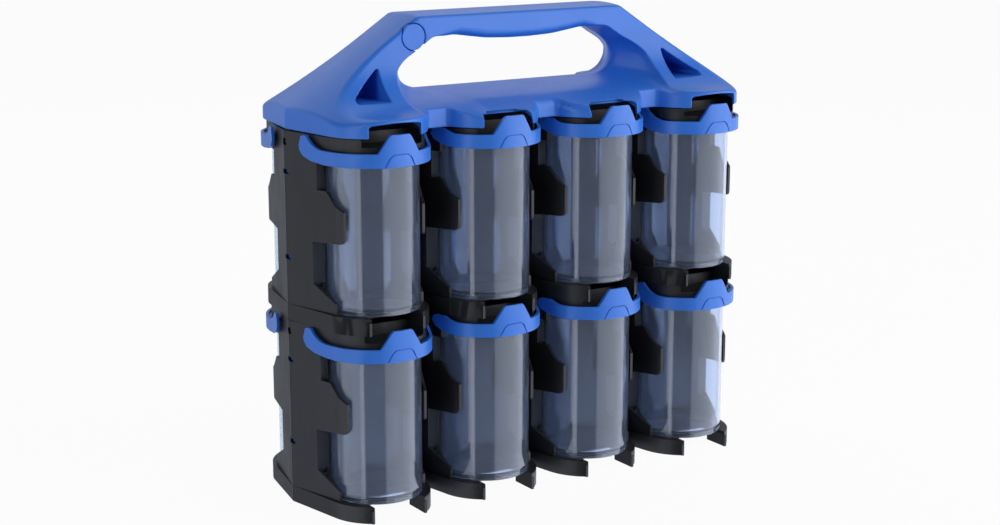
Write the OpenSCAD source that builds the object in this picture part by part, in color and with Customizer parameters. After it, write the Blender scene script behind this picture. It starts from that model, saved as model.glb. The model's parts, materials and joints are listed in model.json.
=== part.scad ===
// Carrying rack of clear pull-out jars: two rows stand on each other, each row is a front
// and a rear half rack set back to back, and a carrying handle is clipped on the top row.
// The origin is under the middle of the rack, on the surface that it stands on.

/* [Layout] */
// Free distance between neighbouring jars
jar_gap = 23.6; // [22:0.1:30]
// Distance of the jars from the seam between front and rear half
jar_back = 7.6; // [6:0.1:12]
// Height of one row, from skirt to skirt
row_h = 120.8; // [104:0.2:150]

/* [Jars] */
// Outer radius of a jar
jar_r = 29; // [26:0.1:32]
// Wall of a jar
jar_wall = 1.6; // [1.2:0.1:2.5]
// Height of the foot ring under the jar's floor
foot_h = 2.8; // [1.5:0.1:5]
// Thickness of the jar's floor
jar_floor = 1.8; // [1.2:0.1:3]
// How far the bead at the mouth stands out
bead_out = 0.8; // [0.5:0.1:0.9]
// Height of the bead at the mouth
bead_h = 2.4; // [1.5:0.1:3]

/* [Collars] */
// Free space between a pull collar and the cheeks behind it
collar_gap = 1.8; // [1.2:0.1:3]
// Wall of a pull collar
collar_wall = 2; // [1.5:0.1:2.4]
// Height of the collar's band
band_h = 8.6; // [7:0.1:10]
// Height of the pull tab above the band
tab_h = 11.2; // [8:0.1:13]
// Width of the pull tab at its top
tab_top_w = 12.5; // [8:0.1:16]
// Width of the pull tab at its foot
tab_foot_w = 29; // [22:0.5:32]
// How far the band reaches above the jar's mouth in the two inner bays
inner_rise = 6.2; // [4:0.1:6.6]
// How far the band reaches above the jar's mouth in the two end bays
end_rise = 1.3; // [0.6:0.1:3]
// How far a collar's outer end reaches behind the jar axis
outer_reach = 18.3; // [14:0.1:22]
// How far a collar's inner end reaches behind the jar axis
inner_reach = 4; // [2:0.1:8]

/* [Racks] */
// Wall thickness of the racks
wall = 1.7; // [1.4:0.1:2.2]
// Free space between a jar and its bay
bay_gap = 1.4; // [1.3:0.1:1.8]
// How far the flanks splay out from the cheeks to the seam
splay = 9.6; // [8:0.1:12]
// Depth of the rack in the valleys between its bays
valley = 16; // [12:0.5:20]
// Top of the floor that the jars stand on
floor_z = 10.6; // [9:0.1:13]
// Thickness of the back plate
back_t = 1.7; // [1.2:0.1:2.5]
// How far the deck stands up into the skirt above
spigot_h = 2.2; // [1.5:0.1:3]
// Width of the finger notch
notch_w = 36; // [32:0.2:38]
// Distance of the finger well's back wall in front of the jar axis
well_y = 9.7; // [8:0.1:14]

/* [Handle] */
// Top of the grip above the upper row
grip_z = 67.8; // [62:0.2:80]
// Thickness of the grip
grip_t = 18.4; // [14:0.2:22]
// Width of the grip
grip_w = 39; // [30:0.5:42]
// Crest of the handle's deck above the upper row
crest_z = 17.4; // [16:0.1:20]
// Half length of the grip's flat top
grip_half = 78.6; // [70:0.2:88]
// Run of the end slopes for each millimetre of fall
slope_run = 1.55; // [1.4:0.01:1.65]
// Radius of the crowned top of the grip and of the end slopes
arch_r = 150; // [120:5:250]
// Radius of the crowned deck
crown_r = 220; // [180:5:300]
// Radius of the round plug in the handle
plug_r = 8.2; // [6:0.1:9]

/* [Hidden] */
$fn = 96;
eps = 0.02;
bays = 4;
sides = ["front", "rear"];
rows = ["lower", "upper"];

// Clearances
seam_gap = 0.15;
slip = 0.3;
clip_gap = 0.1;
snap_gap = 0.1;
join = 0.05;

// Layout
pitch = 2 * jar_r + jar_gap;
axis_y = jar_r + jar_back;
last_x = (bays - 1) / 2 * pitch;

// Racks: radii of the walls and heights above the row's foot
bay_r = jar_r + bay_gap;
cheek_r = bay_r + wall;
skirt_in = cheek_r + slip;
skirt_r = skirt_in + wall;
spigot_r = cheek_r - 0.2;
seam_w = cheek_r + splay;
flank_in = seam_w - wall - slip;
hand_inset = 1;
spigot_w = seam_w - hand_inset - wall - slip;
end_x = last_x + seam_w;
valley_in = valley - wall - slip;
spigot_valley = valley_in - slip;
cheek_top = row_h - slip;
deck_top = row_h + spigot_h;
floor_t = 2.5;
jar_z = floor_z + 0.2;
jar_h = row_h - floor_z - 9.9;
mouth_z = jar_z + jar_h;
rim_z = mouth_z + 0.5;
well_floor = rim_z + 4.2;
notch_x = notch_w / 2;
well_x = notch_x + 2.8;
notch_back = 7;
rib_drop = 5;
notch_round = 2;
far_y = axis_y + skirt_r + 10;
far_x = end_x + 10;

// Openings in the cheeks, in millimetres from the jar axis and above the floor
cup_y = -7.5;
cup_h = 0.068 * jar_h;
cup_rear_h = 0.167 * jar_h;
window_y = 12.6;
window_drop = 1.5;
wing_z = floor_z + 0.446 * jar_h;
wing_h = 0.2 * jar_h;
wing_slope_h = 0.315 * jar_h;
wing_split_h = wing_slope_h - 0.08 * jar_h;
wing_tip_y = -0.5 * jar_r;
wing_top_y = -0.6;
wing_corner = 4;
tip_split_y = -8;
upper_window_y = 7.6;
rim_side_y = 0;
rim_side_z = rim_z - 7.6;

// Seam hole, joining clips and latches
hole_r = 2.4;
hole_drop = 7.3;
clip_h = 2.9;
clip_w = 6.8;
clip_depth = 5;
clip_recess = 3;
clip_heights = [0.336 * row_h, 0.785 * row_h];
latch_t = 1.8;
latch_w = 8;
latch_down = 16;
latch_up = 7.4;
latch_back = 2.4;
barb_in = 0.3;
barb_r = 1.3;
latch_x = end_x - wall - slip - latch_back;

// Collars
collar_r = cheek_r + collar_gap + collar_wall;
collar_in = collar_r - collar_wall;
collar_w = seam_w + collar_wall + collar_gap - 0.2;
horn_r = 17.7;
band_taper = 22;
band_turn = 10;
horn_y = -3;
horn_gap = 0.4;
flange_y = 9;
tab_round = 1.5;
groove = 0.7;

// Handle heights and curves
top_z = 2 * row_h;
hand_z = top_z + 0.4;
hand_top = top_z + grip_z;
hand_crest = top_z + crest_z;
hand_under = hand_top - grip_t;
shell = 2.6;
hand_valley = axis_y + 10.2;
hand_seam_w = seam_w - hand_inset;
hand_r = skirt_r + 0.2;
deck_depth = 16;
hand_low = hand_crest - deck_depth;
notch_up = 8.4;
grip_round = 5;
grip_y = grip_w / 2;
leg_curve = 42.6;
leg_curve_z = hand_under + 5;
leg_foot = grip_y + leg_curve;
slope_fall = atan(1 / slope_run);
open_mid = 51;
open_inner = 20;
open_end = 83.1;
open_shoulder = 15;
open_turn = 7;
open_drop = 16.4;
open_low = 21;
open_foot = 24;
scoop_x = 71.5;
scoop_up = 14.5;
scoop_r = 11.6;
scoop_wide = 31;
scoop_depth = 50;
scoop_in = 62;
scoop_out = 104;
scoop_top = hand_top - 12.7;
scoop_fall = 0.53;
plug_x = 82;
pocket_in = 110;
pocket_out = 136.2;
pocket_drop = 30.8;
pocket_h = 19.4;
pocket_top = hand_top - pocket_drop;
pocket_low = pocket_top - pocket_h;
pocket_y = 4;
plug_drop = 13.7;
plug_t = 3;

charcoal = [0.2, 0.21, 0.22];
blue = [0.25, 0.47, 0.85];
clear = [0.78, 0.83, 0.9];

function bay_x(i) = i * pitch - last_x;
function is_end(i) = i == 0 || i == bays - 1;
function rise(i) = is_end(i) ? end_rise : inner_rise;

// Direction in which the flank from the seam touches a circle round the jar axis
function flank(r, w) = atan2(axis_y, w) - acos(r / norm([w, axis_y]));

// Plan of one bay round its jar axis: a round front and flanks that splay to the seam
module bay_plan(r, w) {
    touch = (r - eps) * [cos(flank(r, w)), sin(flank(r, w))];
    circle(r);
    polygon([[-w, axis_y], [-touch.x, touch.y], [touch.x, touch.y], [w, axis_y]]);
}

module at_bays() {
    for (i = [0 : bays - 1])
        translate([bay_x(i), -axis_y]) children();
}

// Plan of a row's front half, with the strip along the seam that joins its bays
module row_plan(r, w, depth) {
    at_bays() bay_plan(r, w);
    translate([-last_x, -depth]) square([2 * last_x, depth]);
}

module slab(z0, z1) {
    translate([0, 0, z0]) linear_extrude(z1 - z0) children();
}

// Box that is given by two opposite corners
module block(a, b) {
    translate(a) cube(b - a);
}

// Outline drawn in depth and height, run along the length of the rack
module along_x(x0, x1) {
    translate([x0, 0, 0]) rotate([90, 0, 90]) linear_extrude(x1 - x0) children();
}

// Outline drawn in length and height, run through the depth
module along_y(y0, y1) {
    translate([0, y1, 0]) rotate([90, 0, 0]) linear_extrude(y1 - y0) children();
}

// Mirror to the left end where s is negative
module to_end(s) {
    mirror([s < 0 ? 1 : 0, 0, 0]) children();
}

// Everything behind the seam, from the given distance in front of it
module behind_seam(gap) {
    block([-far_x, -gap, -far_y], [far_x, far_y, row_h + far_y]);
}

// Space in front of the cheeks: cup, lower window, wing, upper window and rim
module cheek_air() {
    polygon([
        [-far_y, 0], [cup_y, 0], [cup_y, floor_z + cup_h],
        [window_y, floor_z + cup_rear_h], [window_y, wing_z - window_drop], [tip_split_y, wing_z],
        [tip_split_y, wing_z + wing_split_h], [wing_top_y, wing_z + wing_slope_h],
        [upper_window_y, wing_z + wing_slope_h], [upper_window_y, rim_side_z],
        [rim_side_y, rim_side_z], [rim_side_y, rim_z], [-far_y, rim_z]
    ]);
}

// Side outline of the flexible end of a wing, with its rounded lower corner
module wing_tip_side() {
    difference() {
        polygon([
            [wing_tip_y, wing_z], [tip_split_y, wing_z], [tip_split_y, wing_z + wing_split_h],
            [wing_tip_y, wing_z + wing_h]
        ]);
        translate([wing_tip_y, wing_z]) difference() {
            square(2 * wing_corner, center = true);
            translate([wing_corner, wing_corner]) circle(wing_corner);
        }
    }
}

// Finger well behind a pull tab, sunk into the deck
module well_walls() {
    difference() {
        slab(well_floor - wall, deck_top) at_bays() intersection() {
            circle(bay_r - clip_gap);
            translate([-well_x - wall, -bay_r])
                square([2 * (well_x + wall), bay_r - well_y + wall]);
        }
        well_space();
    }
}

module well_space() {
    for (i = [0 : bays - 1])
        translate([bay_x(i), -axis_y, 0])
            block([-well_x, -skirt_r, well_floor], [well_x, -well_y, deck_top + 1]);
}

// Outline of a finger notch, with rounded upper corners
module notch_side(h) {
    translate([-notch_x, -1]) square([2 * notch_x, h + 1 - notch_round]);
    translate([notch_round - notch_x, 0]) square([2 * (notch_x - notch_round), h]);
    for (s = [-1, 1]) translate([s * (notch_x - notch_round), h - notch_round]) circle(notch_round);
}

// Finger notch through the skirt, under the floor
module notch_space() {
    for (i = [0 : bays - 1]) translate([bay_x(i), -axis_y, 0])
        along_y(-skirt_r - 1, -well_y - notch_back) notch_side(floor_z - floor_t);
}

module notch_ribs() {
    for (i = [0 : bays - 1], s = [-1, 1])
        translate([bay_x(i) + s * (notch_x + wall / 2), -axis_y, 0])
            block([-wall / 2, rib_drop - skirt_r, 0], [wall / 2, -well_y, floor_z - floor_t + eps]);
}

// Holes that both halves share at each end of the row
module end_cuts() {
    for (s = [-1, 1]) to_end(s) {
        translate([latch_x, 0, row_h - hole_drop]) rotate([0, 90, 0])
            cylinder(r = hole_r, h = far_x - latch_x);
        for (z = clip_heights) translate([end_x - clip_recess, 0, z])
            block([-clip_depth - clip_gap, -clip_w / 2 - clip_gap, -clip_h / 2 - clip_gap],
                [clip_depth, clip_w / 2 + clip_gap, clip_h / 2 + clip_gap]);
        latch_room(-1, latch_up + slip);
        latch_room(row_h - latch_down - slip, deck_top + 1);
    }
}

module latch_room(z0, z1) {
    block([latch_x - slip, -latch_w / 2 - slip, z0], [end_x - wall - slip, latch_w / 2 + slip, z1]);
}

module rack_at(row, side) {
    translate([0, 0, row * row_h]) mirror([0, side, 0]) children();
}

// Foot of a half rack: skirt with finger notches, floor under the jars and back wall
module rack(row, side) {
    color(charcoal) rack_at(row, side) difference() {
        union() {
            slab(0, floor_z) difference() {
                row_plan(skirt_r, seam_w, valley);
                row_plan(skirt_in, flank_in, valley_in);
            }
            slab(floor_z - floor_t, floor_z) row_plan(skirt_r, seam_w, valley);
            notch_ribs();
            block([-end_x + wall, -seam_gap - back_t, 0], [end_x - wall, -seam_gap, floor_z]);
        }
        notch_space();
        end_cuts();
        behind_seam(seam_gap);
    }
}

// Cheeks of one bay: a round wall with cup, wings and windows, and flanks that run to the seam
module bay_walls(i) {
    left = i == 0 ? seam_w + 1 : pitch / 2 - join;
    right = i == bays - 1 ? seam_w + 1 : pitch / 2 - join;
    intersection() {
        slab(floor_z + join, cheek_top - join) translate([bay_x(i), -axis_y]) {
            difference() {
                bay_plan(cheek_r, seam_w);
                bay_plan(bay_r, flank_in);
            }
            difference() {
                union() {
                    circle(cheek_r);
                    // Walls behind the windows, from the flanks to the round wall
                    intersection() {
                        bay_plan(cheek_r, seam_w);
                        for (y = [window_y, upper_window_y])
                            translate([-seam_w, y]) square([2 * seam_w, wall]);
                    }
                }
                circle(bay_r);
            }
        }
        translate([bay_x(i), 0, 0]) block([-left, -far_y, 0], [right, 0, row_h]);
    }
}

module bay_cheeks(row, side) {
    inner_x = end_x - wall - slip;
    plate_y = seam_gap + back_t;
    color(charcoal) rack_at(row, side) difference() {
        union() {
            difference() {
                for (i = [0 : bays - 1]) bay_walls(i);
                translate([0, -axis_y, 0]) along_x(-far_x, far_x) cheek_air();
                well_space();
                block([-inner_x, -plate_y - join, 0], [inner_x, 1, row_h]);
            }
            // Back plate between the end flanks
            block([-inner_x + join, -plate_y, floor_z + join], [inner_x - join, -seam_gap, cheek_top - join]);
        }
        end_cuts();
        behind_seam(seam_gap);
    }
}

// Deck over the bays, whose edge centres the skirt above, with the finger wells
module deck(row, side) {
    color(charcoal) rack_at(row, side) difference() {
        union() {
            slab(cheek_top, deck_top) row_plan(spigot_r, spigot_w, spigot_valley);
            well_walls();
        }
        well_space();
        end_cuts();
        behind_seam(seam_gap + back_t + slip);
    }
}

// Flexible wing ends that snap round the jars of one half rack
module wing_tips(row, side) {
    color(charcoal) rack_at(row, side) intersection() {
        slab(wing_z - 1, wing_z + wing_slope_h) difference() {
            at_bays() circle(cheek_r);
            at_bays() circle(bay_r);
        }
        translate([0, -axis_y, 0]) along_x(-end_x, end_x) wing_tip_side();
    }
}

// Clear jar with a foot ring under its floor and a bead round its mouth
module jar(row, side, i) {
    color(clear) rack_at(row, side) translate([bay_x(i), -axis_y, jar_z]) rotate_extrude() difference() {
        union() {
            square([jar_r, jar_h]);
            translate([0, jar_h - bead_h]) square([jar_r + bead_out, bead_h]);
        }
        translate([-1, foot_h + jar_floor]) square([jar_r - jar_wall + 1, jar_h]);
        translate([-1, -1]) square([jar_r - 2 * jar_wall + 1, foot_h + 1]);
    }
}

// Side outline of a collar's band, whose end rises to a horn and is rounded behind
module band_side(reach, low, top, horn) {
    high = top + horn;
    difference() {
        polygon([
            [-collar_r - 1, low], [reach - band_taper, low], [reach - band_turn, low + 0.16 * band_h],
            [reach - 3, low + 0.45 * band_h], [reach - 0.4, low + 0.84 * band_h],
            [reach, low + 0.6 * (high - low)], [reach - 1.9, high - 0.08 * band_h],
            [reach - 3.7, high], [-collar_r - 1, high]
        ]);
        translate([horn_y + reach - outer_reach, top + horn_r]) circle(horn_r);
        translate([-collar_r - 2, top]) square([collar_r + 2 + horn_y + reach - outer_reach, horn + 1]);
    }
}

// Arch-shaped relief under the pull tab
module latch_arch(grow) {
    foot = 0.36 * tab_foot_w + grow;
    shoulder = 0.24 * tab_foot_w + grow;
    crest = 0.16 * tab_foot_w;
    polygon([
        [-foot, -1], [-shoulder, 0.63 * band_h + grow], [-crest, 0.87 * band_h + grow],
        [crest, 0.87 * band_h + grow], [shoulder, 0.63 * band_h + grow], [foot, -1]
    ]);
}

// Blue collar with its pull tab, snapped round the bead of a jar
module collar(row, side, i) {
    top = mouth_z + rise(i);
    low = top - band_h;
    horn = cheek_top - horn_gap - top;
    left = i == 0 ? outer_reach : inner_reach;
    right = i == bays - 1 ? outer_reach : inner_reach;
    tab_top = top + tab_h;
    color(blue) rack_at(row, side) translate([bay_x(i), -axis_y, 0]) difference() {
        union() {
            // Band with splayed ends
            intersection() {
                slab(low, top + horn) difference() {
                    bay_plan(collar_r, collar_w);
                    bay_plan(collar_in, collar_w - collar_wall);
                }
                union() {
                    along_x(-collar_w, 0) band_side(left, low, top, horn);
                    along_x(0, collar_w) band_side(right, low, top, horn);
                }
            }
            // Pull tab
            intersection() {
                slab(low, tab_top) difference() {
                    circle(collar_r);
                    circle(collar_in);
                }
                along_y(-collar_r - 1, -well_y) polygon([
                    [-tab_foot_w / 2, top - 1], [-tab_top_w / 2 - tab_round, tab_top - tab_round],
                    [-tab_top_w / 2, tab_top], [tab_top_w / 2, tab_top],
                    [tab_top_w / 2 + tab_round, tab_top - tab_round], [tab_foot_w / 2, top - 1]
                ]);
            }
            // Flange that grips the bead of the jar
            slab(mouth_z - bead_h, mouth_z) intersection() {
                difference() {
                    circle(collar_in + eps);
                    circle(jar_r + bead_out + snap_gap);
                }
                translate([-collar_r, -collar_r]) square([2 * collar_r, collar_r - flange_y]);
            }
        }
        // Groove of the latch tongue
        intersection() {
            slab(low - 1, top) difference() {
                circle(collar_r + 1);
                circle(collar_r - groove);
            }
            along_y(-collar_r - 1, -well_y) translate([0, low]) difference() {
                latch_arch(groove);
                latch_arch(0);
            }
        }
    }
}

// Plan of the carrying handle, the same to the front and to the rear
module handle_plan(r, w, depth) {
    for (s = [0, 1]) mirror([0, s]) row_plan(r, w, depth);
}

// Round bar along the grip, whose top is the crest of the handle
module grip_bar(r) {
    translate([-far_x, 0, hand_top - arch_r]) rotate([0, 90, 0])
        cylinder(r = r, h = 2 * far_x, $fn = 2 * $fn);
}

// Round bar along one end slope, mitred to the bar along the grip
module slope_bar(r) {
    translate([grip_half, 0, hand_top]) rotate([0, 90 + slope_fall, 0])
        translate([arch_r, 0, -2 * far_x]) cylinder(r = r, h = 4 * far_x, $fn = 2 * $fn);
}

module handle_depth() {
    difference() {
        polygon([
            [-far_y, hand_z], [-far_y, leg_curve_z], [-grip_y, leg_curve_z], [-grip_y, hand_top - grip_round],
            [grip_round - grip_y, hand_top], [grip_y - grip_round, hand_top],
            [grip_y, hand_top - grip_round], [grip_y, leg_curve_z], [far_y, leg_curve_z], [far_y, hand_z]
        ]);
        for (s = [-1, 1]) translate([s * leg_foot, leg_curve_z]) circle(leg_curve);
    }
}

// Hand opening in length and height, open below down to the deck
module hand_opening() {
    for (s = [0, 1]) mirror([s, 0]) polygon([
        [0, hand_under], [open_inner, hand_under + 0.6], [open_mid, hand_under + 4],
        [open_end - open_shoulder, hand_under + 2.8], [open_end - open_turn, hand_under - 5],
        [open_end, hand_under - open_drop], [open_end - 0.6, hand_under - open_low],
        [open_end - 3.3, hand_under - open_foot], [open_end - open_shoulder, hand_crest - 3],
        [open_end - open_shoulder, hand_low], [0, hand_low]
    ]);
}

// Limit of the scoops: the straight slant over them in front and behind
module scoop_limit() {
    polygon([
        [0, hand_low], [0, scoop_top], [scoop_in, scoop_top],
        [scoop_out, scoop_top - scoop_fall * (scoop_out - scoop_in)], [scoop_out, hand_low]
    ]);
}

module leg_pocket() {
    polygon([[pocket_in, pocket_top], [pocket_out, pocket_low], [pocket_in, pocket_low]]);
}

module crown(r) {
    translate([-far_x, 0, hand_crest - crown_r]) rotate([0, 90, 0])
        cylinder(r = r, h = 2 * far_x, $fn = 2 * $fn);
}

module carry_handle() {
    color(blue) difference() {
        intersection() {
            slab(hand_z, hand_top + 1) handle_plan(hand_r, hand_seam_w, hand_valley);
            along_x(-far_x, far_x) handle_depth();
            grip_bar(arch_r);
            slope_bar(arch_r);
            mirror([1, 0, 0]) slope_bar(arch_r);
        }
        // Hand opening with scooped ends, whose lower side is the crowned deck
        difference() {
            union() {
                along_y(-far_y, far_y) hand_opening();
                for (s = [-1, 1]) to_end(s) intersection() {
                    for (t = [0, 1]) mirror([0, t, 0])
                        translate([scoop_x, 1, hand_crest + scoop_up]) rotate([90, 0, 0])
                            cylinder(r1 = scoop_r, r2 = scoop_r + scoop_wide, h = scoop_depth);
                    along_y(-far_y, far_y) scoop_limit();
                }
            }
            crown(crown_r);
        }
        // Hollow under the deck
        intersection() {
            slab(hand_z - 1, hand_crest) handle_plan(skirt_in, spigot_w + slip, hand_valley - shell);
            crown(crown_r - shell - 1);
            slope_bar(arch_r - shell);
            mirror([1, 0, 0]) slope_bar(arch_r - shell);
        }
        // Finger notches over the tabs
        for (t = [0, 1]) mirror([0, t, 0]) for (i = [0 : bays - 1])
            translate([bay_x(i), -axis_y, hand_z])
                block([-notch_x, -hand_r - 1, -1], [notch_x, -well_y - notch_back - 1, notch_up]);
        // Pockets in the legs
        for (s = [-1, 1], t = [0, 1]) to_end(s) mirror([0, t, 0])
            along_y(-far_y, -pocket_y) leg_pocket();
        plug_place(plug_r + 0.4, plug_t, leg_foot);
        for (s = [-1, 1]) to_end(s)
            translate([0, 0, top_z]) latch_room(-1, latch_up + slip);
    }
}

// Round plug in the front of the left leg
module plug_place(r, depth, out) {
    translate([-plug_x, -grip_y + depth, hand_top - plug_drop])
        rotate([90, 0, 0]) cylinder(r = r, h = depth + out);
}

module handle_plug() {
    color(blue) plug_place(plug_r, plug_t - join, 0);
}

// Strip with a barb that clips an upper piece to the row below
module latch(z) {
    for (s = [-1, 1]) to_end(s) translate([latch_x, 0, z]) {
        block([0, -latch_w / 2, -latch_down], [latch_t, latch_w / 2, latch_up]);
        translate([latch_t - eps, 0, -hole_drop]) rotate([0, 90, 0])
            cylinder(r = barb_r, h = latch_back + slip - latch_t + barb_in);
    }
}

module handle_latches() {
    color(charcoal) latch(top_z);
}

module row_latches() {
    color(charcoal) latch(row_h);
}

// Clips that hold the two halves of a row together at its ends
module joining_clips(row) {
    color(blue) for (s = [-1, 1], z = clip_heights) to_end(s)
        translate([end_x - clip_recess, 0, row * row_h + z])
            block([-clip_depth, -clip_w / 2, -clip_h / 2], [0, clip_w / 2, clip_h / 2]);
}

function halves(kind) = [for (r = rows, s = sides) str(r, "_", s, "_", kind)];
function numbered(kind) = [for (r = rows, s = sides, i = [1 : bays]) str(r, "_", s, "_", kind, "_", i)];

carry_handle();
handle_plug();
handle_latches();
row_latches();
for (r = [0, 1]) {
    joining_clips(r);
    for (s = [0, 1]) {
        half = str(rows[r], "_", sides[s], "_");
        rack(r, s);
        bay_cheeks(r, s);
        deck(r, s);
        wing_tips(r, s);
        for (i = [0 : bays - 1]) {
            jar(r, s, i);
            collar(r, s, i);
        }
    }
}
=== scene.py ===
# %% [markdown]
# A carrying rack of pull-out jars: two rows of clear jars stand in charcoal mouldings, front and
# rear, each jar is drawn out by a blue collar with a tab, and a blue handle is clipped on top. The
# imported model is the fixed frame. It is loaded first. The finished pieces have to stay inside
# it.

# %% Load the imported model
import json
import math
import bmesh
import bpy
import numpy as np
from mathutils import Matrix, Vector


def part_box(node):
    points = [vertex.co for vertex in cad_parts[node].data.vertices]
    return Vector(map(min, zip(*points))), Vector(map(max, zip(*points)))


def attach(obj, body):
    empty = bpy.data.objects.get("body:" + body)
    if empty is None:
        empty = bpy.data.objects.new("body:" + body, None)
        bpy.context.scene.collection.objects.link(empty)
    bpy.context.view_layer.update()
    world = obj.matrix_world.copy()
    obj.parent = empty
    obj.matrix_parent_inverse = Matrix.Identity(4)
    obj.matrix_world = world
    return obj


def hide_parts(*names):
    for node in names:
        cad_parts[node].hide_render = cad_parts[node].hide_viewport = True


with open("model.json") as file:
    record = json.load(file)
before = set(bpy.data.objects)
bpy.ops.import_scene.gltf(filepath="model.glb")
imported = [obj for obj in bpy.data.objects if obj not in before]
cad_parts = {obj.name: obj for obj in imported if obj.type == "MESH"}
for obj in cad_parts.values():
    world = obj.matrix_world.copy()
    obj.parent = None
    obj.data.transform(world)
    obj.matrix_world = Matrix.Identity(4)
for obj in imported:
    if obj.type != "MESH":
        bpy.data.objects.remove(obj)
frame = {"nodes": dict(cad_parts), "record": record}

scene = bpy.context.scene
nodes = frame["nodes"]
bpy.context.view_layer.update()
MM = 0.001

# %% [markdown]
# The camera stands in front of the left end and looks slightly down. Its place and lens come from
# fitting a pinhole camera to corners of the rack in the photograph, so the render lies over it.

# %% Camera
CAMERA_PLACE = Vector((-0.670926, -1.025217, 0.414271))
CAMERA_YAW, CAMERA_PITCH = math.radians(33.0033), math.radians(12.7309)
CAMERA_LENS = 66.914
CAMERA_SENSOR = 36

view_camera = bpy.data.cameras.new("view_camera")
view_camera.sensor_width = CAMERA_SENSOR
view_camera.lens = CAMERA_LENS
camera_object = bpy.data.objects.new("view_camera", view_camera)
scene.collection.objects.link(camera_object)
look = Vector((math.sin(CAMERA_YAW) * math.cos(CAMERA_PITCH),
               math.cos(CAMERA_YAW) * math.cos(CAMERA_PITCH), -math.sin(CAMERA_PITCH)))
camera_object.location = CAMERA_PLACE
camera_object.rotation_euler = look.to_track_quat("-Z", "Y").to_euler()
scene.camera = camera_object
scene.view_settings.view_transform = "Standard"
print("camera", round(CAMERA_PLACE.length, 3), "m from the foot of the rack")

# %% [markdown]
# The light is that of a small product studio: a large softbox in front and to the right, one to the
# left, one far to the left and one behind and above for the pale top faces. A white sweep stands behind
# the rack and the room in front is dark, so the surroundings grow brighter towards the rear. Upright
# walls seen from above mirror what stands low: white cards to both sides of the camera, with a dark gap
# where the camera is. That gap is the dark band down the middle of each jar. The cards are painted on
# the lower half of the surroundings, which the floor hides from everything but mirrored rays. The camera
# itself sees white, and the floor keeps the shadow.

# %% Softboxes
RACK_MIDDLE = Vector((0, 0, 0.16))

def softbox(name, place, size, power, tint=(1, 1, 1)):
    lamp = bpy.data.lights.new(name, "AREA")
    lamp.shape = "RECTANGLE"
    lamp.size, lamp.size_y = size
    lamp.energy = power
    lamp.color = tint
    holder = bpy.data.objects.new(name, lamp)
    holder.location = place
    holder.rotation_euler = (RACK_MIDDLE - Vector(place)).to_track_quat("-Z", "Y").to_euler()
    scene.collection.objects.link(holder)

softbox("front_softbox", (1.25, -1.43, 0.75), (2.1, 2.1), 38)
softbox("side_softbox", (-1.6, -0.72, 0.75), (0.6, 1.4), 7)
softbox("left_softbox", (-1.2, 1.5, 0.7), (1.6, 1.6), 5, (0.92, 0.94, 1.0))
softbox("rear_softbox", (0.2, 1.3, 1.6), (2.6, 2.0), 10, (0.92, 0.93, 1.0))

print("softboxes", [light.name for light in bpy.data.lights if light.type == "AREA"])

# %% Surroundings
ROOM_TINT, ROOM_DARK, ROOM_BRIGHT = (0.82, 0.88, 1.0, 1), 0.12, 0.5
SWEEP_START, SWEEP_END = -0.35, 0.75
CARDS_FULL, CARDS_END = -0.09, -0.03
# Brightness of the low cards by degrees from the camera, to its left below zero and to its right above
CARDS = [(-180, 1.0), (-150, 0.8), (-125, 0.3), (-100, 0.3), (-88, 2.2), (-40, 2.2), (-36, 3.8), (-29, 3.8),
         (-25, 0.12), (26, 0.12), (31, 2.2), (60, 3.0), (110, 3.0), (130, 1.4), (180, 1.0)]
CARD_SCALE = 4.0

def math_node(tree, operation, first, second):
    node = tree.nodes.new("ShaderNodeMath")
    node.operation = operation
    for slot, value in enumerate((first, second)):
        if isinstance(value, (int, float)):
            node.inputs[slot].default_value = value
        else:
            tree.links.new(value, node.inputs[slot])
    return node.outputs[0]

def mixed_surface(tree, factor, first, second, output):
    """Sends a mix of two shaders to the output: the second where the factor is 1."""
    mix = tree.nodes.new("ShaderNodeMixShader")
    for slot, socket in enumerate((factor, first, second)):
        tree.links.new(socket, mix.inputs[slot])
    tree.links.new(mix.outputs[0], tree.nodes[output].inputs["Surface"])

def plain_light(tree, kind):
    """White light of strength 1."""
    node = tree.nodes.new(kind)
    node.inputs["Color"].default_value = (1, 1, 1, 1)
    node.inputs["Strength"].default_value = 1
    return node.outputs[0]

studio = bpy.data.worlds.new("studio")
scene.world = studio
studio.use_nodes = True
tree = studio.node_tree
direction = tree.nodes.new("ShaderNodeTexCoord").outputs["Generated"]

def along(axis):
    node = tree.nodes.new("ShaderNodeVectorMath")
    node.operation = "DOT_PRODUCT"
    node.inputs[1].default_value = axis
    tree.links.new(direction, node.inputs[0])
    return node.outputs["Value"]

def mapped(value, low, high, to_low=0.0, to_high=1.0, kind="SMOOTHSTEP"):
    node = tree.nodes.new("ShaderNodeMapRange")
    node.interpolation_type = kind
    for label, number in (("From Min", low), ("From Max", high), ("To Min", to_low), ("To Max", to_high)):
        node.inputs[label].default_value = number
    tree.links.new(value, node.inputs["Value"])
    return node.outputs["Result"]

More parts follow.
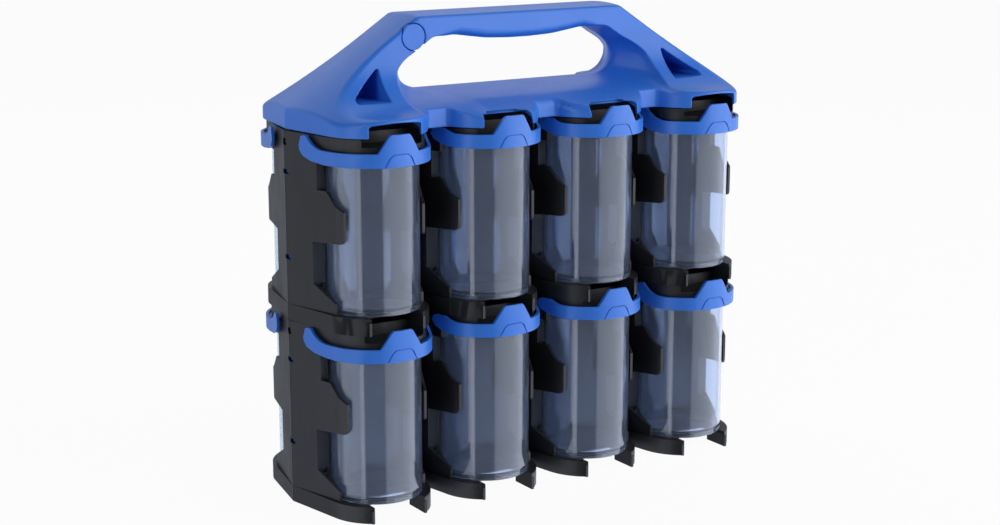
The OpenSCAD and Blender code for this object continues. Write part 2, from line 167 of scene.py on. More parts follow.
ahead = along((math.sin(CAMERA_YAW), math.cos(CAMERA_YAW), 0))
aside = along((math.cos(CAMERA_YAW), -math.sin(CAMERA_YAW), 0))
sweep = mapped(ahead, SWEEP_START, SWEEP_END, ROOM_DARK, ROOM_BRIGHT)
around = math_node(tree, "ARCTAN2", aside, mapped(ahead, -1, 1, 1, -1, "LINEAR"))
cards = tree.nodes.new("ShaderNodeValToRGB")
stops = cards.color_ramp.elements
while len(stops) < len(CARDS):
    stops.new(0.5)
for stop, (degrees, level) in zip(stops, CARDS):
    stop.position = 0.5 + degrees / 360
    stop.color = (level / CARD_SCALE, level / CARD_SCALE, level / CARD_SCALE, 1)
tree.links.new(mapped(around, -math.pi, math.pi, kind="LINEAR"), cards.inputs["Fac"])
strength = tree.nodes.new("ShaderNodeMix")
tree.links.new(mapped(along((0, 0, 1)), CARDS_FULL, CARDS_END, 1, 0), strength.inputs["Factor"])
tree.links.new(sweep, strength.inputs["A"])
tree.links.new(math_node(tree, "MULTIPLY", cards.outputs["Color"], CARD_SCALE), strength.inputs["B"])
room = tree.nodes["Background"]
room.inputs["Color"].default_value = ROOM_TINT
tree.links.new(strength.outputs["Result"], room.inputs["Strength"])
camera_ray = tree.nodes.new("ShaderNodeLightPath").outputs["Is Camera Ray"]
mixed_surface(tree, camera_ray, room.outputs[0], plain_light(tree, "ShaderNodeBackground"), "World Output")
print("surroundings", len(tree.nodes), "nodes, cards of", len(CARDS), "steps")

# %% Floor
FLOOR_HALF, WHITE_SHARE = 8.0, 0.95
PAPER_TINT, PAPER_ROUGH = (0.86, 0.86, 0.87, 1), 0.9
floor_mesh = bpy.data.meshes.new("floor")
floor_mesh.from_pydata([(-FLOOR_HALF, -FLOOR_HALF, 0), (FLOOR_HALF, -FLOOR_HALF, 0),
                        (FLOOR_HALF, FLOOR_HALF, 0), (-FLOOR_HALF, FLOOR_HALF, 0)], [], [(0, 1, 2, 3)])
floor = bpy.data.objects.new("floor", floor_mesh)
scene.collection.objects.link(floor)
paper = bpy.data.materials.new("pale_paper")
paper.use_nodes = True
tree = paper.node_tree
sheet = tree.nodes["Principled BSDF"]
sheet.inputs["Base Color"].default_value = PAPER_TINT
sheet.inputs["Roughness"].default_value = PAPER_ROUGH
ray = tree.nodes.new("ShaderNodeLightPath").outputs
mirrored_ray = math_node(tree, "MAXIMUM", ray["Is Camera Ray"], ray["Is Glossy Ray"])
seen_directly = math_node(tree, "MAXIMUM", mirrored_ray, ray["Is Transmission Ray"])
mixed_surface(tree, math_node(tree, "MULTIPLY", seen_directly, WHITE_SHARE), sheet.outputs[0],
              plain_light(tree, "ShaderNodeEmission"), "Material Output")
floor_mesh.materials.append(paper)
floor.visible_glossy = False
print("floor", 2 * FLOOR_HALF, "m wide")

# %% [markdown]
# Three effects are shared by the plastics. Moulded grain is the fine texture that the mould leaves.
# Tone drift is the slow change of colour through a moulding. Handling marks are the faint rubbed
# streaks of a thing that is picked up often. Each is a node group with its own values in a material.

# %% Shared effects
def new_group(name, inputs, outputs):
    group = bpy.data.node_groups.new(name, "ShaderNodeTree")
    for label, kind, value in inputs:
        socket = group.interface.new_socket(label, in_out="INPUT", socket_type=kind)
        if value is not None:
            socket.default_value = value
    for label, kind in outputs:
        group.interface.new_socket(label, in_out="OUTPUT", socket_type=kind)
    return group, group.nodes.new("NodeGroupInput"), group.nodes.new("NodeGroupOutput")

def noise_node(tree, vector, scale, detail=2.0):
    node = tree.nodes.new("ShaderNodeTexNoise")
    node.inputs["Detail"].default_value = detail
    tree.links.new(vector, node.inputs["Vector"])
    if isinstance(scale, (int, float)):
        node.inputs["Scale"].default_value = scale
    else:
        tree.links.new(scale, node.inputs["Scale"])
    return node.outputs["Fac"]

VECTOR, FLOAT, COLOUR = "NodeSocketVector", "NodeSocketFloat", "NodeSocketColor"
GRAIN_DETAIL, DRIFT_SCALE = 3.0, 14.0
# Marks are streaks drawn out upwards, kept to the patches where a coarser cloud is bright
STREAK_STRETCH, STREAK_SCALE, STREAK_DETAIL = (1.0, 1.0, 0.12), 260.0, 4.0
CLOUD_SCALE, MARKS_START, MARKS_FULL = 35.0, 0.15, 0.45

moulded_grain, inside, outside = new_group(
    "moulded_grain", [("Place", VECTOR, None), ("Grain scale", FLOAT, 900.0)], [("Height", FLOAT)])
fine = noise_node(moulded_grain, inside.outputs["Place"], inside.outputs["Grain scale"], GRAIN_DETAIL)
moulded_grain.links.new(fine, outside.inputs["Height"])

tone_drift, inside, outside = new_group(
    "tone_drift", [("Place", VECTOR, None), ("Pale", COLOUR, (1, 1, 1, 1)), ("Deep", COLOUR, (0, 0, 0, 1))],
    [("Tone", COLOUR)])
slow = noise_node(tone_drift, inside.outputs["Place"], DRIFT_SCALE)
blend = tone_drift.nodes.new("ShaderNodeMix")
blend.data_type = "RGBA"
tone_drift.links.new(slow, blend.inputs["Factor"])
tone_drift.links.new(inside.outputs["Deep"], blend.inputs["A"])
tone_drift.links.new(inside.outputs["Pale"], blend.inputs["B"])
tone_drift.links.new(blend.outputs["Result"], outside.inputs["Tone"])

handling_marks, inside, outside = new_group(
    "handling_marks", [("Place", VECTOR, None), ("Smooth", FLOAT, 0.3), ("Rubbed", FLOAT, 0.45)],
    [("Roughness", FLOAT)])
stretch = handling_marks.nodes.new("ShaderNodeVectorMath")
stretch.operation = "MULTIPLY"
stretch.inputs[1].default_value = STREAK_STRETCH
handling_marks.links.new(inside.outputs["Place"], stretch.inputs[0])
streak = noise_node(handling_marks, stretch.outputs[0], STREAK_SCALE, STREAK_DETAIL)
cloud = noise_node(handling_marks, inside.outputs["Place"], CLOUD_SCALE)
mask = math_node(handling_marks, "MULTIPLY", streak, cloud)
ramp = handling_marks.nodes.new("ShaderNodeMapRange")
ramp.inputs["From Min"].default_value = MARKS_START
ramp.inputs["From Max"].default_value = MARKS_FULL
handling_marks.links.new(mask, ramp.inputs["Value"])
handling_marks.links.new(inside.outputs["Smooth"], ramp.inputs["To Min"])
handling_marks.links.new(inside.outputs["Rubbed"], ramp.inputs["To Max"])
handling_marks.links.new(ramp.outputs["Result"], outside.inputs["Roughness"])
print("shared effects", [g.name for g in (moulded_grain, tone_drift, handling_marks)])

# %% [markdown]
# The plastics of the rack: satin blue for what the hand touches, satin charcoal for the mouldings,
# and clear plastic with a slight haze for the jars. All read object coordinates, which are the same
# for a piece and its mirror image, and all their numbers that do not vary are set on the shader.

# %% Plastics
GRAIN_STRENGTH = 0.35
CLEAR_SHARE, CLEAR_IOR, SHADOW_TINT = 0.965, 1.49, (0.86, 0.89, 0.95, 1)

def plastic(name, pale, deep, smooth, rubbed, grain, depth, level):
    material = bpy.data.materials.new(name)
    material.use_nodes = True
    tree = material.node_tree
    shader = tree.nodes["Principled BSDF"]
    place = tree.nodes.new("ShaderNodeTexCoord").outputs["Object"]

    def effect(group, values):
        node = tree.nodes.new("ShaderNodeGroup")
        node.node_tree = group
        tree.links.new(place, node.inputs["Place"])
        for label, value in values.items():
            node.inputs[label].default_value = value
        return node.outputs[0]

    tone = effect(tone_drift, {"Pale": (*pale, 1), "Deep": (*deep, 1)})
    tree.links.new(tone, shader.inputs["Base Color"])
    rough = effect(handling_marks, {"Smooth": smooth, "Rubbed": rubbed})
    tree.links.new(rough, shader.inputs["Roughness"])
    bump = tree.nodes.new("ShaderNodeBump")
    bump.inputs["Strength"].default_value = GRAIN_STRENGTH
    bump.inputs["Distance"].default_value = depth
    tree.links.new(effect(moulded_grain, {"Grain scale": grain}), bump.inputs["Height"])
    tree.links.new(bump.outputs["Normal"], shader.inputs["Normal"])
    shader.inputs["Specular IOR Level"].default_value = level
    return material, shader

blue_plastic, _ = plastic("blue_plastic", pale=(0.032, 0.185, 0.72), deep=(0.026, 0.165, 0.66), smooth=0.34,
                         rubbed=0.42, grain=1400, depth=0.00006, level=0.42)
charcoal_plastic, _ = plastic("charcoal_plastic", pale=(0.016, 0.016, 0.018), deep=(0.012, 0.012, 0.014),
                              smooth=0.40, rubbed=0.50, grain=1100, depth=0.00009, level=0.3)
clear_plastic, clear_shader = plastic("clear_plastic", pale=(0.66, 0.75, 0.93), deep=(0.62, 0.72, 0.92),
                                      smooth=0.025, rubbed=0.06, grain=700, depth=0.00002, level=0.5)
clear_shader.inputs["Transmission Weight"].default_value = CLEAR_SHARE
clear_shader.inputs["IOR"].default_value = CLEAR_IOR
# Light passes the thin clear walls instead of leaving a dark shadow behind them
tree = clear_plastic.node_tree
through = tree.nodes.new("ShaderNodeBsdfTransparent")
through.inputs["Color"].default_value = SHADOW_TINT
shadow_ray = tree.nodes.new("ShaderNodeLightPath").outputs["Is Shadow Ray"]
mixed_surface(tree, shadow_ray, clear_shader.outputs[0], through.outputs[0], "Material Output")
FINISHES = {"blue_plastic": blue_plastic, "charcoal_plastic": charcoal_plastic,
            "clear_plastic": clear_plastic}
print("plastics", list(FINISHES))

# %% [markdown]
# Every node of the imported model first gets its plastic, so that whatever stays in view is finished.
# Pieces that replace a node follow below.

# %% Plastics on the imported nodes
slot_of = {piece["node"]: piece["material_slot"] for piece in frame["record"]["subparts"]}
for name, node in nodes.items():
    node.data.materials.clear()
    node.data.materials.append(FINISHES[slot_of[name]])
body_of = {node: body for body, group in frame["record"]["behaviour"]["bodies"].items() for node in group}
print("finished nodes", len(slot_of))

def place_piece(name, mesh, stands_for):
    """Puts a finished mesh into the scene in place of the nodes that it stands for."""
    piece = bpy.data.objects.new(name, mesh)
    scene.collection.objects.link(piece)
    slot = slot_of[stands_for[0]]
    mesh.materials.clear()
    mesh.materials.append(FINISHES[slot])
    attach(piece, body_of[stands_for[0]])
    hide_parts(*stands_for)

def finished(holder, name, keep_layers=False):
    """The mesh that a holder has after its modifiers. The holder is then taken away."""
    bpy.context.view_layer.update()
    graph = bpy.context.evaluated_depsgraph_get()
    mesh = bpy.data.meshes.new_from_object(holder.evaluated_get(graph), preserve_all_data_layers=keep_layers,
                                           depsgraph=graph)
    bpy.data.objects.remove(holder)
    mesh.name = name
    return mesh

def new_holder(name, mesh):
    holder = bpy.data.objects.new(name + "_holder", mesh)
    scene.collection.objects.link(holder)
    return holder

# %% [markdown]
# The handle is one hollow moulding with soft edges everywhere: a grip, two legs with scooped sides, a
# crowned deck and a lobed skirt. Booleans with bevels break on such blends. It is easier to say for
# every point how far it lies inside or outside the plastic, because fields of distances join and cut
# each other with any rounding, and then to draw a net of small faces where the distance is zero.

# %% Fields of distances
CORNER_SHARE = 0.49
SLOPE_REACH, NORMAL_REACH = 0.02, 0.2
MOST_MOVE, LEAST_SLOPE = 0.5, 0.25

def round_join(a, b, radius):
    corner = np.hypot(np.maximum(radius - a, 0), np.maximum(radius - b, 0))
    return np.maximum(radius, np.minimum(a, b)) - corner

def round_cut(a, b, radius):
    corner = np.hypot(np.maximum(radius + a, 0), np.maximum(radius + b, 0))
    return np.minimum(-radius, np.maximum(a, b)) + corner

def rounded_outline(corners, steps=8):
    """Points round an outline whose corners are given with their radius."""
    points = []
    for k, (u, v, radius) in enumerate(corners):
        corner = np.array((u, v))
        if radius <= 0:
            points.append((u, v))
            continue
        back = np.array(corners[k - 1][:2]) - corner
        ahead = np.array(corners[(k + 1) % len(corners)][:2]) - corner
        room = CORNER_SHARE * min(np.linalg.norm(back), np.linalg.norm(ahead))
        back, ahead = back / np.linalg.norm(back), ahead / np.linalg.norm(ahead)
        half = math.acos(max(-1.0, min(1.0, float(back @ ahead)))) / 2
        reach = min(radius / math.tan(half), room)
        radius = reach * math.tan(half)
        middle = corner + (back + ahead) / np.linalg.norm(back + ahead) * radius / math.sin(half)
        start, end = corner + back * reach - middle, corner + ahead * reach - middle
        first = math.atan2(start[1], start[0])
        sweep = math.atan2(start[0] * end[1] - start[1] * end[0], float(start @ end))
        for s in range(steps + 1):
            turn = first + sweep * s / steps
            points.append((middle[0] + radius * math.cos(turn), middle[1] + radius * math.sin(turn)))
    return points

def outline_distance(points, u, v):
    """Signed distance to a closed outline, negative inside."""
    u, v = np.broadcast_arrays(u, v)
    best = np.full(u.shape, np.inf)
    inside = np.zeros(u.shape, bool)
    for (au, av), (bu, bv) in zip(points, points[1:] + points[:1]):
        eu, ev = bu - au, bv - av
        if eu == 0 and ev == 0:
            continue
        du, dv = u - au, v - av
        t = np.clip((du * eu + dv * ev) / (eu * eu + ev * ev), 0, 1)
        best = np.minimum(best, (du - t * eu) ** 2 + (dv - t * ev) ** 2)
        if ev != 0:
            inside ^= ((av > v) != (bv > v)) & (u < eu * (v - av) / ev + au)
    return np.where(inside, -1, 1) * np.sqrt(best)

def surface_net(field, low, high, step):
    """Faces where a field is zero: one point in each cell that the surface crosses."""
    axes = [np.arange(a, b + step, step) for a, b in zip(low, high)]
    grid = np.meshgrid(*axes, indexing="ij", sparse=True)
    values = np.broadcast_to(field(*grid), [len(a) for a in axes])
    size = values.shape
    inside = values < 0
    corners = [(i, j, k) for i in (0, 1) for j in (0, 1) for k in (0, 1)]
    count = sum(inside[i:size[0] - 1 + i, j:size[1] - 1 + j, k:size[2] - 1 + k].astype(np.int8)
                for i, j, k in corners)
    crossed = (count > 0) & (count < 8)
    cells = np.argwhere(crossed)
    number = np.full(crossed.shape, -1, np.int64)
    number[tuple(cells.T)] = np.arange(len(cells))
    total, hits = np.zeros((len(cells), 3)), np.zeros((len(cells), 1))
    for axis in range(3):
        for corner in corners:
            if corner[axis]:
                continue
            a = cells + corner
            b = a.copy()
            b[:, axis] += 1
            fa, fb = values[tuple(a.T)], values[tuple(b.T)]
            cross = (fa < 0) != (fb < 0)
            point = a.astype(float)
            point[:, axis] += np.where(cross, fa / np.where(cross, fa - fb, 1), 0)
            total += np.where(cross[:, None], point, 0)
            hits += cross[:, None]
    points = np.array([a[0] for a in axes]) + step * total / hits
    faces = []
    for axis in range(3):
        u, v = (axis + 1) % 3, (axis + 2) % 3
        low_side, high_side = [slice(None)] * 3, [slice(None)] * 3
        low_side[axis], high_side[axis] = slice(0, -1), slice(1, None)
        at = np.argwhere(inside[tuple(low_side)] != inside[tuple(high_side)])
        at = at[(at[:, u] > 0) & (at[:, v] > 0) & (at[:, u] < size[u] - 1) & (at[:, v] < size[v] - 1)]
        ring = []
        for du, dv in ((-1, -1), (0, -1), (0, 0), (-1, 0)):
            cell = at.copy()
            cell[:, u] += du
            cell[:, v] += dv
            ring.append(number[tuple(cell.T)])
        face = np.stack(ring, 1)
        turned = ~inside[tuple(at.T)]
        face[turned] = face[turned][:, ::-1]
        faces.append(face)
    return points, np.concatenate(faces)

def field_slope(field, points, h=SLOPE_REACH):
    x, y, z = points.T
    return np.stack([field(x + h, y, z) - field(x - h, y, z), field(x, y + h, z) - field(x, y - h, z),
                     field(x, y, z + h) - field(x, y, z - h)], 1) / (2 * h)

def settled(field, points, rounds=3):
    """Moves the points of a net onto the surface along the field's slope."""
    slope = field_slope(field, points)
    slope /= np.maximum((slope * slope).sum(1), LEAST_SLOPE)[:, None]
    for _ in range(rounds):
        points = points - np.clip(field(*points.T), -MOST_MOVE, MOST_MOVE)[:, None] * slope
    return points

def mesh_points(mesh):
    flat = np.empty(3 * len(mesh.vertices))
    mesh.vertices.foreach_get("co", flat)
    return flat.reshape(-1, 3) / MM

def thinned(mesh, most):
    """Collapses the faces of a net where it is nearly flat, down to the given number of triangles."""
    triangles = sum(len(face.vertices) - 2 for face in mesh.polygons)
    if triangles <= most:
        return mesh
    holder = new_holder(mesh.name, mesh)
    holder.modifiers.new("thinned", "DECIMATE").ratio = most / triangles
    return finished(holder, mesh.name)

def field_mesh(name, field, low, high, step, most):
    points, faces = surface_net(field, low, high, step)
    points = settled(field, points)
    mesh = bpy.data.meshes.new(name)
    mesh.from_pydata((points * MM).tolist(), [], faces.tolist())
    mesh.update()
    mesh = thinned(mesh, most)
    mesh.shade_smooth()
    normals = field_slope(field, mesh_points(mesh), NORMAL_REACH)
    normals /= np.maximum(np.linalg.norm(normals, axis=1), 1e-9)[:, None]
    mesh.normals_split_custom_set_from_vertices(normals.tolist())
    print(name, len(faces), "faces in the net,", len(mesh.polygons), "kept")
    return mesh

# %% [markdown]
# The sizes below are millimetres in the frame of the model. The grip, the end slopes and the deck are
# crowned, so each is the surface of a wide cylinder. The lobes follow the bays below the handle.

# %% Shape of the handle
PITCH, AXIS_Y, LAST_X = 81.6, 36.6, 122.4
BAYS_X = [-LAST_X, -PITCH / 2, PITCH / 2, LAST_X]
HAND_Z, HAND_TOP, CREST = 242.0, 309.4, 259.0
GRIP_HALF, GRIP_Y, SLOPE_RUN = 78.6, 19.5, 1.55
ARCH_R, CROWN_R, SHELL = 150.0, 220.0, 2.6
LOBE_R, SEAM_W, VALLEY_Y = 34.3, 40.7, 46.8
LEG_R, LEG_Z = 42.6, 296.0
UNDER = HAND_TOP - 18.4
DISC_X, DISC_Z, DISC_R, DISC_BACK = -82.0, HAND_TOP - 13.7, 8.2, -16.5
NOTCH_HALF, NOTCH_Y, NOTCH_UP, NOTCH_ARCH = 18.0, 54.3, 9.0, 1.6
SCOOP_X, SCOOP_Z, SCOOP_R, SCOOP_FLARE, SCOOP_START = 71.5, 273.5, 11.6, 0.62, 1
POCKET_BACK, SEAT_GAP, LOBE_WALL, SEAM_WALL, DECK_EXTRA = 4, 0.5, 1.9, 1.5, 1
# Radii of the handle's edges and blends; the rim of the opening is rounder at the grip than at the legs
TOP_EDGE, LEG_EDGE, SKIRT_EDGE, LOBE_BLEND, DECK_BLEND = 1.2, 2.2, 1.4, 2.5, 7.0
RIM_X, RIM_EDGE = (48, 64), (6.0, 0.9)
SCOOP_BLEND, GAP_BLEND, HOLLOW_BLEND, NOTCH_BLEND = 5.0, 4.0, 0.4, 1.6
POCKET_EDGE, SEAT_EDGE, NOTCH_EDGE, FOOT_EDGE = 0.6, 0.4, 0.6, 0.5

def mirrored(points):
    return points + [(-p[0], *p[1:]) for p in reversed(points)]

leg_foot = GRIP_Y + LEG_R
LEG_SIDE = mirrored(
    [(90, HAND_Z - 20), (90, LEG_Z - LEG_R - 1.5)]
    + [(leg_foot + LEG_R * math.cos(a), LEG_Z + LEG_R * math.sin(a))
       for a in np.linspace(-math.pi / 2, -math.pi, 24)]
    + [(GRIP_Y, HAND_TOP + 20)])
OPENING = rounded_outline(mirrored(
    [(8, UNDER, 90), (26, UNDER + 0.8, 90), (50, UNDER + 4.2, 40), (67.5, UNDER + 3.7, 7),
     (86.6, HAND_TOP - 35.5, 9), (66, CREST - 3, 4), (66, CREST - 30, 0)]))
POCKET = rounded_outline([(110, 278.9, 1.0), (136.6, 259.3, 1.6), (110, 258.9, 1.2)])
SCOOP_LIMIT = rounded_outline([(-20, 240, 0), (-20, 296.7, 0), (62, 296.7, 10), (98.4, 277.4, 5),
                               (101.2, 270, 12), (100.4, 240, 0)])

def lobed_plan(x, y, radius, seam_w, valley, soft):
    flank = math.atan2(AXIS_Y, seam_w) - math.acos(radius / math.hypot(seam_w, AXIS_Y))
    dy = AXIS_Y - np.abs(y)
    field = np.maximum(np.abs(x) - LAST_X, np.abs(y) - valley)
    for bay in BAYS_X:
        dx = np.abs(x - bay)
        flat = dx * math.cos(flank) + dy * math.sin(flank)
        lobe = np.where(np.arctan2(dy, dx) > flank, flat, np.hypot(dx, dy))
        field = round_join(field, lobe - radius, soft)
    return field

def crowned(y, flat, radius):
    return np.hypot(y, flat + radius) - radius

def handle_field(x, y, z):
    ax, ay = np.abs(x), np.abs(y)
    slope = crowned(y, (ax - GRIP_HALF + SLOPE_RUN * (z - HAND_TOP)) / math.hypot(1, SLOPE_RUN), ARCH_R)
    body = round_cut(crowned(y, z - HAND_TOP, ARCH_R), slope, TOP_EDGE)
    body = round_cut(body, outline_distance(LEG_SIDE, y, z), LEG_EDGE)
    body = round_cut(body, lobed_plan(x, y, LOBE_R, SEAM_W, VALLEY_Y, LOBE_BLEND), SKIRT_EDGE)
    deck = crowned(y, z - CREST, CROWN_R)
    # Hand opening, with a scoop at each end on both sides
    scoop = np.hypot(ax - SCOOP_X, z - SCOOP_Z) - SCOOP_R - SCOOP_FLARE * np.maximum(ay - SCOOP_START, 0)
    scoop /= math.hypot(1, SCOOP_FLARE)
    scoop = round_cut(scoop, outline_distance(SCOOP_LIMIT, ax, z), SCOOP_BLEND)
    gap = round_join(outline_distance(OPENING, x, z), scoop, GAP_BLEND)
    body = round_cut(body, -round_cut(gap, -deck, DECK_BLEND), np.interp(ax, RIM_X, RIM_EDGE))
    # Pockets in the legs and the seat of the disc
    body = round_cut(body, -np.maximum(outline_distance(POCKET, ax, z), POCKET_BACK - ay), POCKET_EDGE)
    seat = np.maximum(np.hypot(x - DISC_X, z - DISC_Z) - DISC_R - SEAT_GAP, y - DISC_BACK)
    body = round_cut(body, -seat, SEAT_EDGE)
    # Finger notches with arched tops
    dx = np.abs((x / PITCH) % 1 - 0.5) * PITCH
    dx = np.where(ax > 2 * PITCH, 2 * NOTCH_HALF, dx)
    arch = z - HAND_Z - NOTCH_UP + NOTCH_ARCH * (dx / NOTCH_HALF) ** 2
    notch = round_cut(np.maximum(dx - NOTCH_HALF, NOTCH_Y - ay), arch, NOTCH_BLEND)
    body = round_cut(body, -notch, NOTCH_EDGE)
    # Hollow underneath, which sits on the deck of the upper row
    inner_plan = lobed_plan(x, y, LOBE_R - LOBE_WALL, SEAM_W - SEAM_WALL, VALLEY_Y - SHELL, HOLLOW_BLEND)
    hollow = np.maximum(inner_plan, np.maximum(deck + SHELL + DECK_EXTRA, slope + SHELL))
    return round_cut(np.maximum(body, -hollow), HAND_Z - z, FOOT_EDGE)

HANDLE_STEP, HANDLE_TRIANGLES = (0.85), 190000
NET_LOW, NET_HIGH = (-166.3, -74.3, 239.3), (166.3, 74.3, 312.7)
handle_mesh = field_mesh("handle_body", handle_field, NET_LOW, NET_HIGH, HANDLE_STEP, HANDLE_TRIANGLES)
place_piece("handle_body", handle_mesh, ["carry_handle"])

# %% [markdown]
# The disc lies flush in the front of the left leg. It is cut from the same leg surface, a hair lower,
# so that only the fine ring round it shows.

# %% Disc in the handle
DISC_SUNK, DISC_CLEAR, DISC_FRONT_EDGE, DISC_BACK_EDGE = 0.15, 0.1, 0.4, 0.3

def disc_field(x, y, z):
    face = outline_distance(LEG_SIDE, y, z) + DISC_SUNK
    disc = round_cut(np.hypot(x - DISC_X, z - DISC_Z) - DISC_R, face, DISC_FRONT_EDGE)
    return round_cut(disc, y - DISC_BACK + DISC_CLEAR, DISC_BACK_EDGE)

DISC_STEP, DISC_TRIANGLES = 0.4, 20000
disc_mesh = field_mesh("handle_disc", disc_field, (DISC_X - 10, -24, DISC_Z - 10),
                       (DISC_X + 10, -14, DISC_Z + 10), DISC_STEP, DISC_TRIANGLES)
place_piece("handle_disc", disc_mesh, ["handle_plug"])

# %% [markdown]
# A jar is a turned shape, and all sixteen are alike, so one Geometry Nodes tree makes them. It draws
# half of the cross-section from named sizes, rounds its corners, and bends a grid round the axis so
# that each row of the grid is one point of the section. Modifiers could spin a drawn outline as well,
# but the tree keeps the sizes open to change.

# %% Tree that turns a jar
jar_tree = bpy.data.node_groups.new("turned_jar", "GeometryNodeTree")
EDGE_STEPS, SEAM_MERGE = 3, 1e-6
JAR_SIZES = {"Radius": 29.0, "Height": 100.3, "Wall": 1.6, "Foot": 2.8, "Floor": 1.8, "Bead out": 0.8,
             "Bead height": 2.4, "Edge": 0.45}
for label in JAR_SIZES:
    jar_tree.interface.new_socket(label, in_out="INPUT", socket_type="NodeSocketFloat")
jar_tree.interface.new_socket("Steps", in_out="INPUT", socket_type="NodeSocketInt")
jar_tree.interface.new_socket("Place", in_out="INPUT", socket_type="NodeSocketVector")
jar_tree.interface.new_socket("Plastic", in_out="INPUT", socket_type="NodeSocketMaterial")
jar_tree.interface.new_socket("Geometry", in_out="OUTPUT", socket_type="NodeSocketGeometry")
jar_in, jar_out = jar_tree.nodes.new("NodeGroupInput"), jar_tree.nodes.new("NodeGroupOutput")

def tree_node(kind, **links):
    node = jar_tree.nodes.new(kind)
    for label, value in links.items():
        socket = node.inputs[label.replace("_", " ")]
        if isinstance(value, bpy.types.NodeSocket):
            jar_tree.links.new(value, socket)
        else:
            socket.default_value = value
    return node

def sized(first, operation, second):
    return math_node(jar_tree, operation, first, second)

size = jar_in.outputs
inner = sized(size["Radius"], "SUBTRACT", size["Wall"])
foot_in = sized(inner, "SUBTRACT", size["Wall"])
bead = sized(size["Radius"], "ADD", size["Bead out"])
neck = sized(size["Height"], "SUBTRACT", size["Bead height"])
ground = sized(size["Foot"], "ADD", size["Floor"])
section = [(0.0, size["Foot"]), (foot_in, size["Foot"]), (foot_in, 0.0), (size["Radius"], 0.0),
           (size["Radius"], neck), (bead, neck), (bead, size["Height"]), (inner, size["Height"]),
           (inner, ground), (0.0, ground)]

line = tree_node("GeometryNodeMeshLine")
line.inputs["Count"].default_value = len(section)
choose = jar_tree.nodes.new("GeometryNodeIndexSwitch")
choose.data_type = "VECTOR"
while len(choose.index_switch_items) < len(section):
    choose.index_switch_items.new()
jar_tree.links.new(jar_tree.nodes.new("GeometryNodeInputIndex").outputs[0], choose.inputs["Index"])
for k, (across, up) in enumerate(section):
    point = tree_node("ShaderNodeCombineXYZ", X=across, Z=up)
    jar_tree.links.new(point.outputs[0], choose.inputs[k + 1])
drawn = tree_node("GeometryNodeSetPosition", Geometry=line.outputs["Mesh"], Position=choose.outputs[0])
curve = tree_node("GeometryNodeMeshToCurve", Mesh=drawn.outputs[0])
fillet = tree_node("GeometryNodeFilletCurve", Curve=curve.outputs[0], Radius=size["Edge"])
fillet.mode = "POLY"
fillet.inputs["Count"].default_value = EDGE_STEPS
fillet.inputs["Limit Radius"].default_value = True

amount = tree_node("GeometryNodeAttributeDomainSize", Geometry=fillet.outputs[0])
amount.component = "CURVE"
rows = sized(size["Steps"], "ADD", 1)
grid = tree_node("GeometryNodeMeshGrid", Vertices_X=amount.outputs["Point Count"], Vertices_Y=rows)
index = jar_tree.nodes.new("GeometryNodeInputIndex").outputs[0]
section_point = sized(sized(index, "DIVIDE", rows), "FLOOR", 0)
step_round = sized(index, "MODULO", rows)
turn = sized(sized(step_round, "DIVIDE", size["Steps"]), "MULTIPLY", 2 * math.pi)
sample = tree_node("GeometryNodeSampleIndex", Geometry=fillet.outputs[0])
sample.data_type = "FLOAT_VECTOR"
jar_tree.links.new(jar_tree.nodes.new("GeometryNodeInputPosition").outputs[0], sample.inputs["Value"])
jar_tree.links.new(section_point, sample.inputs["Index"])
split = tree_node("ShaderNodeSeparateXYZ", Vector=sample.outputs[0])
bent = tree_node("ShaderNodeCombineXYZ", X=sized(split.outputs["X"], "MULTIPLY", sized(turn, "COSINE", 0)),
                 Y=sized(split.outputs["X"], "MULTIPLY", sized(turn, "SINE", 0)), Z=split.outputs["Z"])
turned = tree_node("GeometryNodeSetPosition", Geometry=grid.outputs["Mesh"], Position=bent.outputs[0])
closed = tree_node("GeometryNodeMergeByDistance", Geometry=turned.outputs[0], Distance=SEAM_MERGE)
smooth = tree_node("GeometryNodeSetShadeSmooth", Geometry=closed.outputs[0])
placed = tree_node("GeometryNodeTransform", Geometry=smooth.outputs[0], Translation=size["Place"])
single = tree_node("GeometryNodeRealizeInstances", Geometry=placed.outputs[0])
coated = tree_node("GeometryNodeSetMaterial", Geometry=single.outputs[0], Material=size["Plastic"])
jar_tree.links.new(coated.outputs[0], jar_out.inputs["Geometry"])
print("jar tree", len(jar_tree.nodes), "nodes")

# %% Sixteen jars
JAR_STEPS, SHARP_DEGREES = (96), 40
identifier = {item.name: item.identifier for item in jar_tree.interface.items_tree if item.in_out == "INPUT"}

def turned_jar(name, place):
    holder = new_holder(name, bpy.data.meshes.new(name + "_holder"))
    maker = holder.modifiers.new("turned_jar", "NODES")
    maker.node_group = jar_tree
    for label, value in JAR_SIZES.items():
        maker[identifier[label]] = value * MM
    maker[identifier["Steps"]] = JAR_STEPS
    maker[identifier["Place"]] = place
    maker[identifier["Plastic"]] = clear_plastic
    mesh = finished(holder, name)
    shape = bmesh.new()
    shape.from_mesh(mesh)
    if shape.calc_volume(signed=True) < 0:
        bmesh.ops.reverse_faces(shape, faces=shape.faces)
    shape.to_mesh(mesh)
    shape.free()
    mesh.shade_smooth()
    mesh.set_sharp_from_angle(angle=math.radians(SHARP_DEGREES))
    return mesh

jar_nodes = sorted(n for n in nodes if "_jar_" in n)
for node in jar_nodes:
    low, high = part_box(node)
    middle = (low + high) / 2
    mesh = turned_jar(node + "_turned", (middle.x, middle.y, low.z))
    place_piece(node + "_turned", mesh, [node])
print("jars", len(jar_nodes), "of", len(mesh.polygons), "faces")

# %% [markdown]
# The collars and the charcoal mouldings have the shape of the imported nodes, but a real moulding has
# no knife edges. Each is a copy of its node: loose triangles are welded, flat ones are joined, and a
# narrow bevel rounds the edges, which then catch the light as they do in the photograph.

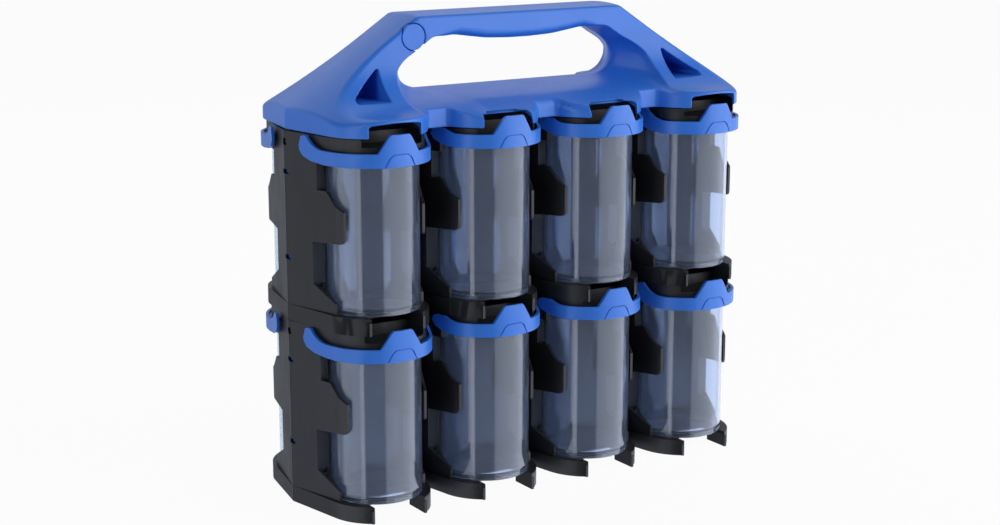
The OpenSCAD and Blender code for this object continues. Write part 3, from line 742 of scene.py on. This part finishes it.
# %% Softened mouldings
BEVEL_DEGREES, WELD, JOINT_WELD = 28, 2e-6, 2e-5
# Triangles within this angle are joined; only quite flat ones where a boolean has left slivers
FLAT_DEGREES, CUT_FLAT_DEGREES = 0.5, 0.02

def welded(meshes):
    shape = bmesh.new()
    for mesh in meshes:
        shape.from_mesh(mesh)
    bmesh.ops.triangulate(shape, faces=shape.faces)
    bmesh.ops.remove_doubles(shape, verts=shape.verts, dist=WELD)
    return shape

def softened(name, meshes, width, segments=2, drop=None, flat=FLAT_DEGREES):
    shape = welded(meshes)
    if drop:
        bmesh.ops.delete(shape, geom=[f for f in shape.faces if drop(f)], context="FACES_ONLY")
        bmesh.ops.remove_doubles(shape, verts=shape.verts, dist=JOINT_WELD)
    bmesh.ops.dissolve_limit(shape, angle_limit=math.radians(flat), verts=shape.verts, edges=shape.edges)
    mesh = bpy.data.meshes.new(name)
    shape.to_mesh(mesh)
    shape.free()
    holder = new_holder(name, mesh)
    bevel = holder.modifiers.new("soft_edges", "BEVEL")
    bevel.width = width * MM
    bevel.segments = segments
    bevel.limit_method = "ANGLE"
    bevel.angle_limit = math.radians(BEVEL_DEGREES)
    bevel.use_clamp_overlap = True
    weight = holder.modifiers.new("flat_faces", "WEIGHTED_NORMAL")
    weight.keep_sharp = True
    mesh.shade_smooth()
    return finished(holder, name, keep_layers=True)

COLLAR_EDGE, RACK_EDGE = 0.4, 0.3
for node in sorted(n for n in nodes if "_collar_" in n):
    mesh = softened(node + "_soft", [nodes[node].data], COLLAR_EDGE)
    place_piece(node + "_soft", mesh, [node])
print("collars, last of", len(mesh.polygons), "faces")

# %% [markdown]
# At the front of each bay a finger notch reaches up to the foot of the jar, so the floor is open there.
# The notch is cut with a boolean, which is safe on these plain upright walls, before the edges are rounded.

# %% Half racks
NOTCH_IN, NOTCH_OUT, NOTCH_TOP, NOTCH_BELOW = AXIS_Y + 16.7, AXIS_Y + 50.0, 11.6, 1

def notched(name):
    """Foot of a half rack whose finger notches go up through the floor."""
    low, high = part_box(name)
    side = -1 if low.y + high.y < 0 else 1
    cutter = bmesh.new()
    for bay in BAYS_X:
        corners = bmesh.ops.create_cube(cutter, size=1.0)["verts"]
        for corner in corners:
            corner.co = Vector((bay + 2 * NOTCH_HALF * corner.co.x,
                                side * (NOTCH_IN + (0.5 + side * corner.co.y) * (NOTCH_OUT - NOTCH_IN)),
                                low.z / MM - NOTCH_BELOW
                                + (corner.co.z + 0.5) * (NOTCH_TOP + NOTCH_BELOW))) * MM
    tool_mesh = bpy.data.meshes.new(name + "_notches")
    cutter.to_mesh(tool_mesh)
    cutter.free()
    tool = new_holder(name + "_notches", tool_mesh)
    shape = welded([nodes[name].data])
    mesh = bpy.data.meshes.new(name + "_notched")
    shape.to_mesh(mesh)
    shape.free()
    holder = new_holder(name + "_notched", mesh)
    cut = holder.modifiers.new("notches", "BOOLEAN")
    cut.operation, cut.solver, cut.object = "DIFFERENCE", "EXACT", tool
    result = finished(holder, name + "_cut")
    bpy.data.objects.remove(tool)
    return result

TIP_SPLIT = (AXIS_Y + 8) * MM

def is_tip_joint(face):
    return all(abs(abs(v.co.y) - TIP_SPLIT) < WELD for v in face.verts)

for half in ("lower_front", "lower_rear", "upper_front", "upper_rear"):
    foot, top = half + "_rack", half + "_deck"
    mesh = softened(foot + "_soft", [notched(foot)], RACK_EDGE, flat=CUT_FLAT_DEGREES)
    place_piece(foot + "_soft", mesh, [foot])
    place_piece(top + "_soft", softened(top + "_soft", [nodes[top].data], RACK_EDGE), [top])
    pair = [half + "_cheeks", half + "_wing_tips"]
    mesh = softened(half + "_cheeks_soft", [nodes[n].data for n in pair], RACK_EDGE, drop=is_tip_joint)
    place_piece(half + "_cheeks_soft", mesh, pair)
    print(half, "cheeks of", len(mesh.polygons), "faces")
